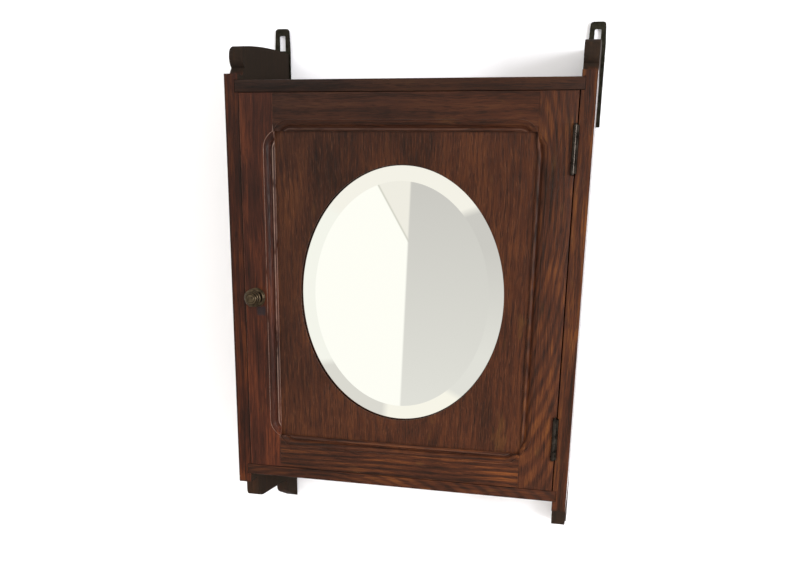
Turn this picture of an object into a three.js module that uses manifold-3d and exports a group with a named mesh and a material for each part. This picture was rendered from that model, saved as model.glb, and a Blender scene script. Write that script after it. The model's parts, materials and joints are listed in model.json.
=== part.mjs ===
// Wall-hung oak medicine cabinet: an open case on shaped side boards, with one inset framed door
// that carries an oval bevelled mirror, turns on two butt hinges and is held by a turn knob.
// Millimetres. X is to the right, Y is to the back and Z is up. The origin is the middle of the back,
// in the plane of the wall, so the case reaches forward to negative Y.
import * as THREE from "three";
import { mergeVertices } from "three/addons/utils/BufferGeometryUtils.js";
import Module from "manifold-3d";

// ---- driving dimensions ----
const GAP = 0.3; // air between two pieces that touch on the real cabinet
const CASE_W = 510;
const CASE_D = 200;
const CASE_H = 575;
const SIDE_T = 20;
const BOARD_T = 16;
const DADO = 5;
const BACK_T = 8;
const BACK_BOARDS = 3;
const SHELVES = 3;
const SHELF_T = 12;
const SHELF_SETBACK = 45;
const CLEAT_T = 12;
const CLEAT_H = 16;
const CLEAT_SETBACK = 5; // behind the shelf's front edge
const DOOR_T = 20;
const DOOR_GAP = 0.7;
const HINGE_GAP = 1.6;
const MEMBER_W = 49.7; // width of each stile and rail
const PANEL_DEPTH = 8; // from the door's face to the panel's face
const REBATE_W = 9;
const PANEL_T = 6.4;
const PANEL_LIP = 2;
const OVAL = { a: 149.5, b: 181.5, drop: 2.8 }; // the opening in the panel sits a little low
const GLASS_OVER = 4.5; // how far the glass reaches behind the panel's lip
const BEVEL_W = 21.5;
const BEVEL_DROP = 2.4;
const GLASS_RIM = 1.6;
const MOULD_W = 15;
const CUTTER_R = 26; // radius of the cutter whose sweep ends each moulding
const MOULD_STOP = 24; // from the corner to the centre of that sweep
const TENON = { length: 28, thick: 7, inset: 9 };
const KNOB = { x: -216.5, z: -11 };
const HINGE_LENGTH = 60;
const HINGE_Z = [199, -193];
const PIN_AT = { x: 231.4, y: -202 };
const BARREL_R = 3.1;
const PIN_R = 1.25;
const LEAF_T = 1.3;
const LEAF_W = 18.5;
const PLATE = { w: 25.5, t: 1.8, low: 246, high: 392, corner: 5.5, taper: 1.2 };
const PLATE_SLOT = { w: 9.6, low: 359.5, high: 382, corner: 2, taper: 0.1 };
const PLATE_SHIFT = 2.5; // the right plate was screwed on this far outward
const ROUND = 16; // sides of a small round piece

const HALF_W = CASE_W / 2;
const HALF_H = CASE_H / 2;
const FRONT = -CASE_D;
const INNER = HALF_W - SIDE_T;
const DOOR = {
  left: -INNER + DOOR_GAP,
  right: INNER - HINGE_GAP,
  low: -HALF_H + BOARD_T + DOOR_GAP,
  high: HALF_H - BOARD_T - DOOR_GAP,
  back: FRONT + DOOR_T,
};
const SIGHT = {
  left: DOOR.left + MEMBER_W,
  right: DOOR.right - MEMBER_W,
  low: DOOR.low + MEMBER_W,
  high: DOOR.high - MEMBER_W,
};
const MID_X = (SIGHT.left + SIGHT.right) / 2;
const MID_Z = (SIGHT.low + SIGHT.high) / 2;
const OVAL_Z = MID_Z - OVAL.drop;

const X = new THREE.Vector3(1, 0, 0);
const Y = new THREE.Vector3(0, 1, 0);
const Z = new THREE.Vector3(0, 0, 1);

// ---- materials ----
const paint = (color, roughness, metalness = 0) =>
  new THREE.MeshStandardMaterial({ color, roughness, metalness });
const oak = () => paint(0x5a3a2a, 0.45);
const darkOak = () => paint(0x43322a, 0.5);
const rawWood = () => paint(0x7a6248, 0.8);
const steel = () => paint(0x6e6a66, 0.4, 1);
const iron = () => paint(0x4a4740, 0.6, 1);
const brass = () => paint(0x7d6f58, 0.4, 1);
const silvered = () => paint(0xd8dcdd, 0.03, 1);

// ---- solids ----
const wasm = await Module();
wasm.setup();

// A closed three.js geometry as a solid that can be cut and joined.
function solid(geometry) {
  const bare = geometry.clone();
  bare.deleteAttribute("normal");
  bare.deleteAttribute("uv");
  const merged = mergeVertices(bare, 1e-4);
  return new wasm.Manifold(
    new wasm.Mesh({
      numProp: 3,
      vertProperties: new Float32Array(merged.attributes.position.array),
      triVerts: new Uint32Array(merged.index.array),
    }),
  );
}

function geometryOf(made) {
  const mesh = made.getMesh();
  const geometry = new THREE.BufferGeometry();
  geometry.setAttribute("position", new THREE.BufferAttribute(mesh.vertProperties, 3));
  geometry.setIndex(new THREE.BufferAttribute(mesh.triVerts, 1));
  return geometry;
}

const cut = (body, ...tools) => tools.flat().reduce((rest, tool) => rest.subtract(tool), body);
const join = (...bodies) => bodies.reduce((all, next) => all.add(next));

function block(x0, x1, y0, y1, z0, z1) {
  const geometry = new THREE.BoxGeometry(x1 - x0, y1 - y0, z1 - z0);
  return solid(geometry.translate((x0 + x1) / 2, (y0 + y1) / 2, (z0 + z1) / 2));
}

// The outline lies in the first two directions and is carried along the third.
function extrude(outline, length, right, up, along, curveSegments = 8) {
  const options = { depth: length, bevelEnabled: false, curveSegments };
  const geometry = new THREE.ExtrudeGeometry(outline, options);
  return geometry.applyMatrix4(new THREE.Matrix4().makeBasis(right, up, along));
}

// A turned solid: points are [radius, distance along the axis], and the axis starts at a place.
function turned(points, place, axis, sides = ROUND) {
  const profile = points.map(([radius, along]) => new THREE.Vector2(radius, along));
  const geometry = new THREE.LatheGeometry(profile, sides);
  geometry.applyQuaternion(new THREE.Quaternion().setFromUnitVectors(Y, axis));
  return solid(geometry.translate(place.x, place.y, place.z));
}

const rod = (radius, length, place, axis, sides = ROUND) =>
  turned([[0, 0], [radius, 0], [radius, length], [0, length]], place, axis, sides);

// ---- the scene graph ----
const cabinet = new THREE.Group();
const carcase = new THREE.Group();
const door = new THREE.Group();
cabinet.add(carcase, door);

function place(group, name, made, material) {
  const mesh = new THREE.Mesh(geometryOf(made), material);
  mesh.name = name;
  group.add(mesh);
}

// ---- countersunk screws ----
const SCREW = { head: 3.1, sink: 1.5, shank: 1.6, slot: 0.8 };

function screwProfile(length, grow) {
  const head = SCREW.head + grow;
  const shank = SCREW.shank + grow;
  return [[0, 0], [head, 0], [shank, SCREW.sink], [shank, length + grow], [0, length + grow]];
}

// The head's face is at the given place and the shank runs along the axis.
function screw(length, at, axis, slotAlong) {
  const body = turned(screwProfile(length, 0), at, axis, 12);
  const slot = new THREE.BoxGeometry(2 * SCREW.head + 1, 1.2, SCREW.slot);
  const across = new THREE.Vector3().crossVectors(axis, slotAlong);
  slot.applyMatrix4(new THREE.Matrix4().makeBasis(slotAlong, axis, across.negate()));
  return cut(body, solid(slot.translate(at.x, at.y, at.z)));
}

// The room a screw needs, with its head open to the outside.
function screwHole(length, at, axis) {
  const inside = turned(screwProfile(length, GAP), at, axis, 12);
  const mouth = at.clone().addScaledVector(axis, -1);
  return join(inside, rod(SCREW.head + GAP, 1.01, mouth, axis, 12));
}

// ---- hanging plates and their screws ----
// A bar that narrows by the taper towards its rounded top.
function roundedBar({ w, low, high, corner, taper }) {
  const half = w / 2;
  const upper = half - taper;
  const swell = low + 0.8 * (high - low);
  const bar = new THREE.Shape();
  bar.moveTo(-half, low);
  bar.lineTo(half, low);
  bar.lineTo(half, swell);
  bar.lineTo(upper, high - corner);
  bar.quadraticCurveTo(upper, high, upper - corner, high);
  bar.lineTo(-upper + corner, high);
  bar.quadraticCurveTo(-upper, high, -upper, high - corner);
  bar.lineTo(-half, swell);
  bar.closePath();
  return bar;
}

const PLATE_SCREW_Z = [268, 330];
const PLATE_SCREW_LENGTH = 18;
const plateX = (side) => side * (HALF_W - SIDE_T / 2) + (side > 0 ? PLATE_SHIFT : 0);
const plateScrewsAt = (side) =>
  PLATE_SCREW_Z.map((z) => new THREE.Vector3(plateX(side), 0, z));
const forward = Y.clone().negate();

function hangingPlate(side) {
  const outline = roundedBar(PLATE);
  outline.holes.push(roundedBar(PLATE_SLOT));
  const flat = extrude(outline, PLATE.t, X, Z, forward, 5).translate(plateX(side), 0, 0);
  const holes = plateScrewsAt(side).map((at) => screwHole(PLATE_SCREW_LENGTH, at, forward));
  return cut(solid(flat), holes);
}

// ---- side boards ----
// The outline is drawn with the distance from the front edge across and the height up.
function sideOutline() {
  const top = HALF_H;
  const low = -HALF_H;
  const recess = CASE_D - PLATE.t - GAP;
  const s = new THREE.Shape();
  s.moveTo(0, low - 14.3);
  s.lineTo(0, top + 8);
  s.lineTo(16, top + 8);
  s.quadraticCurveTo(20, top + 12, 25.5, top + 19.5);
  s.bezierCurveTo(21.5, top + 22, 18.6, top + 27, 18.6, top + 33);
  s.bezierCurveTo(18.6, top + 42, 24.5, top + 47.5, 35, top + 49.4);
  s.bezierCurveTo(75, top + 57, 130, top + 64, recess, top + 67.5);
  s.lineTo(recess, PLATE.low - GAP);
  s.lineTo(CASE_D, PLATE.low - GAP);
  s.lineTo(CASE_D, low - 106);
  s.lineTo(177, low - 95);
  s.bezierCurveTo(165, low - 89.5, 156.5, low - 86, 154, low - 80);
  s.bezierCurveTo(151.5, low - 74, 150.5, low - 66, 148, low - 61);
  s.bezierCurveTo(130, low - 57.5, 95, low - 54, 60, low - 51.9);
  s.bezierCurveTo(40, low - 50.5, 26.8, low - 48, 26.8, low - 38);
  s.lineTo(26.8, low - 14.3);
  s.closePath();
  return s;
}

// Cuts in both sides: the two dadoes and the rebate for the back.
function carcaseJoints() {
  const reach = INNER + DADO + GAP;
  const rebate = INNER + BACK_T;
  const tops = [HALF_H - BOARD_T, -HALF_H];
  const dadoes = tops.map((z) =>
    block(-reach, reach, FRONT - 1, -BACK_T, z - GAP, z + BOARD_T + GAP),
  );
  return [...dadoes, block(-rebate, rebate, -BACK_T - GAP, 1, -HALF_H - GAP, HALF_H + GAP)];
}

function side(sign) {
  const board = solid(extrude(sideOutline(), SIDE_T, Y, Z, X, 7));
  const moved = board.translate([sign > 0 ? INNER : -HALF_W, FRONT, 0]);
  const holes = plateScrewsAt(sign).map((at) => screwHole(PLATE_SCREW_LENGTH, at, forward));
  return cut(moved, carcaseJoints(), holes);
}

// ---- butt hinges: the case leaf, the door leaf and a loose pin ----
const KNUCKLES = 5;
const KNUCKLE_GAP = 0.5;
const BORE_R = PIN_R + 0.35;
const SCREW_STEP = 20;
const PIN_TIP = 2.4; // how far the pin's domed ends stand out of the barrel
const CASE_FACE = INNER + 0.1; // face of the case leaf
const DOOR_FACE = DOOR.right - 0.1; // face of the door leaf
const CASE_SCREW = 14;
const DOOR_SCREW = 16;

const pinFoot = (z) => new THREE.Vector3(PIN_AT.x, PIN_AT.y, z);

function knuckles(middle, odd, grow = 0) {
  const pitch = HINGE_LENGTH / KNUCKLES;
  const ring = [];
  for (let k = odd ? 1 : 0; k < KNUCKLES; k += 2) {
    const low = middle - HINGE_LENGTH / 2 + k * pitch + KNUCKLE_GAP / 2 - grow;
    ring.push(rod(BARREL_R + grow, pitch - KNUCKLE_GAP + 2 * grow, pinFoot(low), Z, 20));
  }
  return join(...ring);
}

const leafScrewsAt = (x, middle) =>
  [-1, 0, 1].map(
    (k) => new THREE.Vector3(x, FRONT + (k === 0 ? 12.5 : 8.5), middle + k * SCREW_STEP),
  );

function hingeBore(middle) {
  return rod(BORE_R, HINGE_LENGTH + 2, pinFoot(middle - HINGE_LENGTH / 2 - 1), Z, 20);
}

function caseLeaf(middle) {
  const low = middle - HINGE_LENGTH / 2;
  const high = middle + HINGE_LENGTH / 2;
  const flange = block(CASE_FACE, CASE_FACE + LEAF_T, PIN_AT.y - 1.3, FRONT + LEAF_W, low, high);
  const web = block(PIN_AT.x + 1, CASE_FACE + 0.5, PIN_AT.y - 1.3, PIN_AT.y, low, high);
  const body = join(cut(web, knuckles(middle, true, 0.4)), flange, knuckles(middle, false));
  const holes = leafScrewsAt(CASE_FACE, middle).map((at) => screwHole(CASE_SCREW, at, X));
  return cut(body, hingeBore(middle), holes);
}

function doorLeaf(middle) {
  const low = middle - HINGE_LENGTH / 2;
  const high = middle + HINGE_LENGTH / 2;
  const near = PIN_AT.y + 1.8;
  const flange = block(DOOR_FACE - LEAF_T, DOOR_FACE, near, FRONT + LEAF_W, low, high);
  const body = join(cut(flange, knuckles(middle, false, 0.4)), knuckles(middle, true));
  const inward = X.clone().negate();
  const holes = leafScrewsAt(DOOR_FACE, middle).map((at) => screwHole(DOOR_SCREW, at, inward));
  return cut(body, hingeBore(middle), holes);
}

function hingePin(middle) {
  const half = HINGE_LENGTH / 2;
  const tip = BARREL_R - 0.6;
  const profile = [[0, -PIN_TIP], [1.5, -2.1], [tip, -1], [tip, -0.2], [PIN_R, -0.2]];
  const upper = profile.map(([r, along]) => [r, 2 * half - along]).reverse();
  return turned([...profile, ...upper], pinFoot(middle - half), Z);
}

// Room in the side board and in the stile for the leaves, the barrel and the screws.
function hingeRoomInSide(middle) {
  const half = HINGE_LENGTH / 2 + GAP;
  const bed = CASE_FACE + LEAF_T + GAP;
  const back = FRONT + LEAF_W + GAP;
  const recess = block(INNER - 1, bed, FRONT - 1, back, middle - half, middle + half);
  const holes = leafScrewsAt(CASE_FACE, middle).map((at) => screwHole(CASE_SCREW, at, X));
  return [recess, ...holes];
}

function hingeRoomInStile(middle) {
  const half = HINGE_LENGTH / 2 + GAP;
  const bed = DOOR_FACE - LEAF_T - GAP;
  const back = FRONT + LEAF_W + GAP;
  const recess = block(bed, DOOR.right + 1, FRONT - 1, back, middle - half, middle + half);
  const tall = half + PIN_TIP;
  const barrel = rod(BARREL_R + 0.5, 2 * tall, pinFoot(middle - tall), Z, 20);
  const inward = X.clone().negate();
  const holes = leafScrewsAt(DOOR_FACE, middle).map((at) => screwHole(DOOR_SCREW, at, inward));
  return [recess, barrel, ...holes];
}

// ---- turn knob, its keeper and the stops ----
const SPINDLE_R = 3;
const TONGUE = { length: 15.5, w: 8, t: 3, from: DOOR.back + 5 };
const KEEPER = { w: 24, t: 1.6, lip: 9.7, depth: 20, from: DOOR.back + 1 };
const KEEPER_SCREW = 12;
const knobAt = (y) => new THREE.Vector3(KNOB.x, y, KNOB.z);

function knobBody() {
  // Turned from the rose outward: neck, three ringed steps and a small dished face.
  const profile = [
    [0, 0], [7, 0], [6, 2.5], [6.4, 5], [9.5, 7.2], [12.4, 9.6], [12.8, 11.4], [12.2, 13.2],
    [10.8, 13.7], [10.9, 15.4], [10.1, 16.6], [8.9, 16.9], [8.8, 18.4], [7.9, 19.6], [5, 20.4],
    [0, 20.6],
  ];
  return turned(profile, knobAt(FRONT - 3.3), forward, 28);
}

const rose = () =>
  turned(
    [[SPINDLE_R + GAP, 0], [14, 0], [14, 1], [12.6, 2.4], [10, 3], [SPINDLE_R + GAP, 3],
      [SPINDLE_R + GAP, 0]],
    knobAt(FRONT - 0.01),
    forward,
    28,
  );

function tongue() {
  const y0 = TONGUE.from;
  const half = TONGUE.w / 2;
  const low = KNOB.z - TONGUE.length;
  const arm = block(KNOB.x - half, KNOB.x + half, y0, y0 + TONGUE.t, low, KNOB.z);
  const hub = rod(6, TONGUE.t + 4.6, knobAt(DOOR.back + 0.4), Y);
  const bore = rod(SPINDLE_R + 0.15, 20, knobAt(DOOR.back - 5), Y);
  return cut(join(arm, hub), bore);
}

const keeperScrewsAt = [-1, 1].map(
  (k) => new THREE.Vector3(-INNER + GAP + KEEPER.t, KEEPER.from + 13, KNOB.z + k * 7),
);
const leftward = X.clone().negate();

function keeper() {
  const x0 = -INNER + GAP;
  const low = KNOB.z - KEEPER.w / 2;
  const high = KNOB.z + KEEPER.w / 2;
  const y0 = KEEPER.from;
  const flange = block(x0, x0 + KEEPER.t, y0, y0 + KEEPER.depth, low, high);
  const lip = block(x0, x0 + KEEPER.lip, y0, y0 + KEEPER.t, low + 2, high - 2);
  return cut(join(flange, lip), keeperScrewsAt.map((at) => screwHole(KEEPER_SCREW, at, leftward)));
}

// ---- door frame ----
// The moulding in section: [distance from the sight edge, depth below the face], from the face in.
const MOULDING = [
  [15, 0], [15, 1.1], [13.9, 1.2], [12, 1.9], [9.8, 3.2], [8.1, 4.8], [7.3, 6.1], [6.2, 6.5],
  [5.4, 5.6], [3.9, 4.6], [2.2, 4.5], [0.8, 5.4], [0, 6.8],
];

// What the cutter takes away along an edge: a straight run between two centres, with a round end
// at each. In its own frame the sight edge is the X axis, the wood lies at positive Y and the
// face is at Z = 0 with the depth running to negative Z.
function mouldingCut(length) {
  const half = length / 2 - MOULD_STOP;
  const closed = [...MOULDING, [-1, 6.8], [-1, -1], [15, -1]];
  const section = new THREE.Shape(closed.map(([v, d]) => new THREE.Vector2(v, -d)));
  const run = solid(extrude(section, 2 * half, Y, Z, X).translate(-half, 0, 0));
  const centre = MOULD_W - CUTTER_R;
  const ring = [...closed, closed[0]].map(([v, d]) => [v - centre, -d]);
  const ends = [-1, 1].map((k) => {
    const disc = turned(ring.slice().reverse(), new THREE.Vector3(k * half, centre, 0), Z, 72);
    const x0 = k > 0 ? half - 0.01 : -half - CUTTER_R - 1;
    const outer = block(x0, x0 + CUTTER_R + 1.01, -1.01, MOULD_W + 1, -8, 2);
    return disc.intersect(outer);
  });
  return join(run, ...ends);
}

// The same cut on a member: turned about the line of sight, at the middle of its sight edge.
function mouldingOn(length, x, z, turn) {
  const toFront = new THREE.Matrix4().makeBasis(X, Z, forward);
  const spin = new THREE.Matrix4().makeRotationY(turn);
  const geometry = geometryOf(mouldingCut(length));
  geometry.applyMatrix4(spin.multiply(toFront)).translate(x, FRONT, z);
  return solid(geometry);
}

const rebateFront = FRONT + PANEL_DEPTH;
const panelRoom = () =>
  block(
    SIGHT.left - REBATE_W, SIGHT.right + REBATE_W, rebateFront, DOOR.back + 1,
    SIGHT.low - REBATE_W, SIGHT.high + REBATE_W,
  );

const tenonFront = FRONT + (DOOR_T - TENON.thick) / 2;
const rails = [
  { name: "rail_top", low: SIGHT.high, high: DOOR.high, sight: SIGHT.high, turn: 0 },
  { name: "rail_bottom", low: DOOR.low, high: SIGHT.low, sight: SIGHT.low, turn: Math.PI },
];

// A tenon reaches past the shoulder on both ends; grown a little it is the mortise.
function tenonBar(rail, grow) {
  const reach = SIGHT.right - MID_X + TENON.length + grow;
  return block(
    MID_X - reach, MID_X + reach, tenonFront - grow, tenonFront + TENON.thick + grow,
    rail.low + TENON.inset - grow, rail.high - TENON.inset + grow,
  );
}

function doorRail(rail) {
  const left = SIGHT.left + GAP / 2;
  const right = SIGHT.right - GAP / 2;
  const bar = block(left, right, FRONT, DOOR.back, rail.low, rail.high);
  const shaped = cut(join(bar, tenonBar(rail, 0)), panelRoom());
  return cut(shaped, mouldingOn(SIGHT.right - SIGHT.left, MID_X, rail.sight, rail.turn));
}

function doorStile(left, right, sight, turn) {
  const bar = block(left, right, FRONT, DOOR.back, DOOR.low, DOOR.high);
  const mortises = rails.map((rail) => tenonBar(rail, GAP));
  const mould = mouldingOn(SIGHT.high - SIGHT.low, sight, MID_Z, turn);
  return cut(bar, mortises, panelRoom(), mould);
}

// ---- panel, mirror, backing and the strips that hold them ----
function ovalOutline(grow) {
  const outline = new THREE.Shape();
  outline.absellipse(0, 0, OVAL.a + grow, OVAL.b + grow, 0, 2 * Math.PI, false, 0);
  return outline;
}

const ovalPlug = (grow, length, back) =>
  solid(extrude(ovalOutline(grow), length, X, Z, forward, 48).translate(MID_X, back, OVAL_Z));

const panelFace = rebateFront + GAP;
const panelBack = panelFace + PANEL_T;

function doorPanel() {
  const x0 = SIGHT.left - REBATE_W + GAP;
  const x1 = SIGHT.right + REBATE_W - GAP;
  const z0 = SIGHT.low - REBATE_W + GAP;
  const z1 = SIGHT.high + REBATE_W - GAP;
  const opening = ovalPlug(0, PANEL_T + 2, panelBack + 1);
  const seat = ovalPlug(GLASS_OVER + GAP, PANEL_T - PANEL_LIP + 1, panelBack + 1);
  return cut(block(x0, x1, panelFace, panelBack, z0, z1), opening, seat);
}

// The glass is bevelled on its front only, so the back half of the bevelled form is cut away.
function mirror() {
  const options = {
    depth: 2 * GLASS_RIM,
    bevelEnabled: true,
    bevelThickness: BEVEL_DROP,
    bevelSize: BEVEL_W + GLASS_OVER,
    bevelSegments: 1,
    curveSegments: 48,
  };
  const form = new THREE.ExtrudeGeometry(ovalOutline(-BEVEL_W), options);
  form.applyMatrix4(new THREE.Matrix4().makeBasis(X, Z, forward));
  const glassFront = panelFace + PANEL_LIP + GAP;
  form.translate(MID_X, glassFront + BEVEL_DROP + 2 * GLASS_RIM, OVAL_Z);
  const back = glassFront + BEVEL_DROP + GLASS_RIM;
  const reach = OVAL.b + 20;
  const behind = block(
    MID_X - reach, MID_X + reach, back, back + 20, OVAL_Z - reach, OVAL_Z + reach,
  );
  return cut(solid(form), behind);
}

const STRIP = { w: 8, front: panelBack + GAP, back: DOOR.back - 0.3 };
const strips = [
  ["bead_left", SIGHT.left - REBATE_W + GAP, SIGHT.left - REBATE_W + GAP + STRIP.w, 0],
  ["bead_right", SIGHT.right + REBATE_W - GAP - STRIP.w, SIGHT.right + REBATE_W - GAP, 0],
  ["bead_top", SIGHT.high + REBATE_W - GAP - STRIP.w, SIGHT.high + REBATE_W - GAP, 1],
  ["bead_bottom", SIGHT.low - REBATE_W + GAP, SIGHT.low - REBATE_W + GAP + STRIP.w, 1],
];

function strip(from, to, lies) {
  const end = REBATE_W - GAP;
  if (!lies) return block(from, to, STRIP.front, STRIP.back, SIGHT.low - end, SIGHT.high + end);
  const inset = end - STRIP.w - GAP;
  return block(SIGHT.left - inset, SIGHT.right + inset, STRIP.front, STRIP.back, from, to);
}

const backing = () =>
  block(
    SIGHT.left - 0.1, SIGHT.right + 0.1, STRIP.front, DOOR.back - 1.2,
    SIGHT.low - 0.1, SIGHT.high + 0.1,
  );

// ---- back boards, shelves and cleats ----
const LAP = 6;

// Half-lapped boards side by side, drawn in plan and carried up the height of the case.
function backBoard(index) {
  const span = 2 * (INNER + BACK_T - GAP);
  const pitch = span / BACK_BOARDS;
  const x0 = -span / 2 + index * pitch + (index > 0 ? GAP / 2 : 0);
  const x1 = -span / 2 + (index + 1) * pitch - (index < BACK_BOARDS - 1 ? GAP / 2 : 0);
  const middle = -BACK_T / 2;
  const low = -HALF_H;
  let board = block(x0, x1, -BACK_T, 0, low, HALF_H);
  if (index > 0) {
    const lap = x0 + LAP + GAP;
    const step = block(x0 - 1, lap, -BACK_T - 1, middle + GAP / 2, low - 1, HALF_H + 1);
    board = cut(board, step);
  }
  if (index < BACK_BOARDS - 1) {
    const tab = block(x1 - 1, x1 + LAP, -BACK_T, middle - GAP / 2, low, HALF_H);
    board = join(board, tab);
  }
  const notches = [-1, 1].map((sign) => {
    const inner = plateX(sign) - sign * (PLATE.w / 2 + GAP);
    const outer = sign * HALF_W;
    const [from, to] = [Math.min(inner, outer), Math.max(inner, outer)];
    return block(from, to, -PLATE.t - GAP, 1, PLATE.low - GAP, HALF_H + 1);
  });
  return cut(board, notches);
}

const bay = (CASE_H - 2 * BOARD_T - SHELVES * SHELF_T) / (SHELVES + 1);
const shelfLow = (k) => -HALF_H + BOARD_T + bay + k * (bay + SHELF_T);
const shelfFront = FRONT + SHELF_SETBACK;

function shelf(k) {
  const reach = INNER - GAP;
  return block(-reach, reach, shelfFront, -BACK_T - 1, shelfLow(k), shelfLow(k) + SHELF_T);
}

function cleat(k, sign) {
  const outer = INNER - GAP;
  const inner = outer - CLEAT_T;
  const high = shelfLow(k) - GAP;
  const [x0, x1] = sign < 0 ? [-outer, -inner] : [inner, outer];
  return block(x0, x1, shelfFront + CLEAT_SETBACK, -BACK_T - 2, high - CLEAT_H, high);
}

const STOP = { w: 12, depth: 12, length: 40 };

function doorStop(low) {
  const x0 = -INNER + GAP;
  const y0 = DOOR.back + 0.6;
  return block(x0, x0 + STOP.w, y0, y0 + STOP.depth, low, low + STOP.length);
}

// ---- the case ----
const keeperHoles = keeperScrewsAt.map((at) => screwHole(KEEPER_SCREW, at, leftward));
place(carcase, "side_left", cut(side(-1), keeperHoles), oak());
place(carcase, "side_right", cut(side(1), HINGE_Z.flatMap(hingeRoomInSide)), oak());

const boardReach = INNER + DADO;
for (const [name, low] of [["top_board", HALF_H - BOARD_T], ["bottom_board", -HALF_H]]) {
  const made = block(-boardReach, boardReach, FRONT, -BACK_T - GAP, low, low + BOARD_T);
  place(carcase, name, made, oak());
}

for (let k = 0; k < BACK_BOARDS; k++) {
  place(carcase, `back_board_${k + 1}`, backBoard(k), rawWood());
}

for (let k = 0; k < SHELVES; k++) {
  place(carcase, `shelf_${k + 1}`, shelf(k), darkOak());
  place(carcase, `cleat_left_${k + 1}`, cleat(k, -1), darkOak());
  place(carcase, `cleat_right_${k + 1}`, cleat(k, 1), darkOak());
}

const stopLow = -HALF_H + BOARD_T + GAP;
place(carcase, "stop_bottom", doorStop(stopLow), darkOak());
place(carcase, "stop_top", doorStop(HALF_H - BOARD_T - GAP - STOP.length), darkOak());

for (const [name, sign] of [["left", -1], ["right", 1]]) {
  place(carcase, `hanging_plate_${name}`, hangingPlate(sign), iron());
  plateScrewsAt(sign).forEach((at, k) => {
    const made = screw(PLATE_SCREW_LENGTH, at, forward, X);
    place(carcase, `plate_screw_${name}_${k + 1}`, made, steel());
  });
}

place(carcase, "latch_keeper", keeper(), brass());
keeperScrewsAt.forEach((at, k) => {
  place(carcase, `keeper_screw_${k + 1}`, screw(KEEPER_SCREW, at, leftward, Z), brass());
});

for (const [name, middle] of [["top", HINGE_Z[0]], ["bottom", HINGE_Z[1]]]) {
  place(carcase, `hinge_${name}_case_leaf`, caseLeaf(middle), steel());
  place(carcase, `hinge_${name}_pin`, hingePin(middle), steel());
  place(door, `hinge_${name}_door_leaf`, doorLeaf(middle), steel());
  leafScrewsAt(CASE_FACE, middle).forEach((at, k) => {
    place(carcase, `hinge_${name}_case_screw_${k + 1}`, screw(CASE_SCREW, at, X, Z), steel());
  });
  leafScrewsAt(DOOR_FACE, middle).forEach((at, k) => {
    const made = screw(DOOR_SCREW, at, leftward, Z);
    place(door, `hinge_${name}_door_screw_${k + 1}`, made, steel());
  });
}

// ---- the door ----
const spindleHole = rod(SPINDLE_R + GAP, DOOR_T + 2, knobAt(FRONT - 1), Y);
const knobStile = doorStile(DOOR.left, SIGHT.left, SIGHT.left, -Math.PI / 2);
const hingeStile = doorStile(SIGHT.right, DOOR.right, SIGHT.right, Math.PI / 2);
place(door, "stile_knob_side", cut(knobStile, spindleHole), oak());
place(door, "stile_hinge_side", cut(hingeStile, HINGE_Z.flatMap(hingeRoomInStile)), oak());
for (const rail of rails) place(door, rail.name, doorRail(rail), oak());
place(door, "door_panel", doorPanel(), oak());
place(door, "mirror", mirror(), silvered());
place(door, "mirror_backing", backing(), rawWood());
for (const [name, from, to, lies] of strips) place(door, name, strip(from, to, lies), rawWood());
place(door, "knob_rose", rose(), brass());

// ---- the turning knob ----
const SPINDLE_LENGTH = 37;
const knobGroup = new THREE.Group();
door.add(knobGroup);
const spindle = rod(SPINDLE_R, SPINDLE_LENGTH, knobAt(DOOR.back + 11 - SPINDLE_LENGTH), Y);
const socket = rod(SPINDLE_R + 0.2, 30, knobAt(DOOR.back + 10.8 - SPINDLE_LENGTH), Y);
place(knobGroup, "knob", cut(knobBody(), socket), brass());
place(knobGroup, "knob_spindle", spindle, steel());
place(knobGroup, "latch_tongue", tongue(), brass());

export default cabinet;
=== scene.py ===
# %% [markdown]
# # A dark oak medicine cabinet with an oval mirror
# The case, the door and the turn knob arrive as a finished frame of solids. This lesson gives them
# their looks: softened edges, run mouldings, a bevelled mirror, turned brass and stained oak.
# Lengths are metres, X is to the right, Y is into the wall and Z is up.

# %% Load the frame
import json
import math

import bmesh
import bpy
import numpy as np
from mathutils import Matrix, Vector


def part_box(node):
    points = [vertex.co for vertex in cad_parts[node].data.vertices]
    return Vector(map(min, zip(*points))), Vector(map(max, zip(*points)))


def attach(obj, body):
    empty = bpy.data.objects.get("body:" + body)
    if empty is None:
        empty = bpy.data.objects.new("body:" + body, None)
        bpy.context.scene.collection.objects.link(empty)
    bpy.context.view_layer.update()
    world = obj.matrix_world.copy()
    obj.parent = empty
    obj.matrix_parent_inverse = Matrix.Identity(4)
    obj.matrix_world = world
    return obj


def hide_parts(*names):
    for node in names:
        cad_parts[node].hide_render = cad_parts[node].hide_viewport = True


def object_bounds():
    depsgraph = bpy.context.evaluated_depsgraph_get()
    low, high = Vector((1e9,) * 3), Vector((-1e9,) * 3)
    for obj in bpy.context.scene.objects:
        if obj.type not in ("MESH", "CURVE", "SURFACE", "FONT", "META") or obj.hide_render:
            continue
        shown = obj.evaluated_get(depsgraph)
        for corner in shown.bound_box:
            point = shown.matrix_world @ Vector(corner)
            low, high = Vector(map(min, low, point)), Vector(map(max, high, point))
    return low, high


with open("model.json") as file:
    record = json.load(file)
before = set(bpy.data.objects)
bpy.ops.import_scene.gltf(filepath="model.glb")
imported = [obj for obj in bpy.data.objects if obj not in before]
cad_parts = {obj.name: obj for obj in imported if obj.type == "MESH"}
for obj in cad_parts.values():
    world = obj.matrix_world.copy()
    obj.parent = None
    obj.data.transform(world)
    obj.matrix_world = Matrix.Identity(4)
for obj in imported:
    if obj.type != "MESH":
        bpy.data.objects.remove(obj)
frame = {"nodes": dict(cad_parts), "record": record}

cad_low, cad_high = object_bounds()
MM = 0.001

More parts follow.
